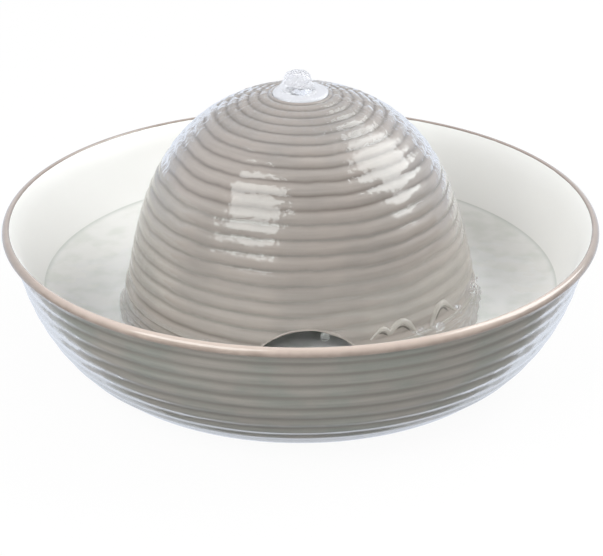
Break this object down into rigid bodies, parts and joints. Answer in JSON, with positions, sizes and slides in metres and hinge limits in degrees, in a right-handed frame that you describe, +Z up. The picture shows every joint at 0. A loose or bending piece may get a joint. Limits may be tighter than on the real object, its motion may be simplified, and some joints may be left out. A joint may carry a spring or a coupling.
{
  "type": "pet water fountain",
  "caption": "Glazed ceramic pet water fountain: flared ribbed bowl, lift-off ribbed dome with intake notch and crown nozzle, and a submersible pump with hose, strainer and flow dial inside.",
  "frame": {"origin": "on the supporting surface, under the middle of the bowl", "axes": "+Z up, -Y to the front where the dome's intake notch is, +X to the right seen from the front"},
  "size_m": [0.3, 0.3, 0.1432],
  "materials": {
    "greige_glaze": "glossy greige glaze over white glaze",
    "bowl_glaze": "glossy greige glaze outside, white glaze inside",
    "pale_plastic": "satin",
    "clear_silicone": "translucent silicone",
    "white_silicone": "silicone",
    "black_plastic": "fine moulded texture",
    "black_rubber": "matt",
    "laminated_steel": "stacked laminations",
    "bobbin_plastic": "natural nylon",
    "copper_wire": "enamelled copper wire",
    "potting_epoxy": "cast epoxy",
    "shaft_ceramic": "ground",
    "ferrite": "sintered ferrite",
    "impeller_plastic": "moulded",
    "foam": "open-cell filter foam",
    "dial_plastic": "moulded"
  },
  "bodies": {
    "base": {"bowl": "bowl_glaze", "foot_pads": "clear_silicone", "suction_cups": "black_rubber", "motor_housing": "black_plastic", "rear_cover": "black_plastic", "cable_gland": "black_rubber", "stator_core": "laminated_steel", "coil_bobbin": "bobbin_plastic", "stator_winding": "copper_wire", "potting_resin": "potting_epoxy", "rotor_shaft": "shaft_ceramic", "rear_bush": "black_rubber", "front_bush": "black_rubber", "chamber_seal": "black_rubber", "impeller_cover": "black_plastic", "riser_hose": "clear_silicone"},
    "dome": {"dome": "greige_glaze", "nozzle_grommet": "white_silicone"},
    "nozzle": {"outlet_nozzle": "pale_plastic"},
    "rotor": {"impeller": "impeller_plastic", "rotor_magnet": "ferrite"},
    "strainer": {"strainer_cover": "black_plastic", "filter_sponge": "foam"},
    "dial": {"flow_dial": "dial_plastic"}
  },
  "joints": [
    {"name": "dome_lift", "type": "slide", "parent": "base", "child": "dome", "axis": [0, 0, 1], "range_m": [0, 0.15]},
    {"name": "nozzle_pull", "type": "slide", "parent": "dome", "child": "nozzle", "axis": [0, 0, 1], "range_m": [0, 0.03]},
    {"name": "rotor_spin", "type": "hinge", "parent": "base", "child": "rotor", "pos_m": [-0.0065, 0, 0.029], "axis": [0, 1, 0], "continuous": true},
    {"name": "strainer_pull", "type": "slide", "parent": "base", "child": "strainer", "axis": [0, -1, 0], "range_m": [0, 0.03]},
    {"name": "dial_turn", "type": "hinge", "parent": "strainer", "child": "dial", "pos_m": [0, -0.025, 0.029], "axis": [0, -1, 0], "range_deg": [0, 90]}
  ]
}
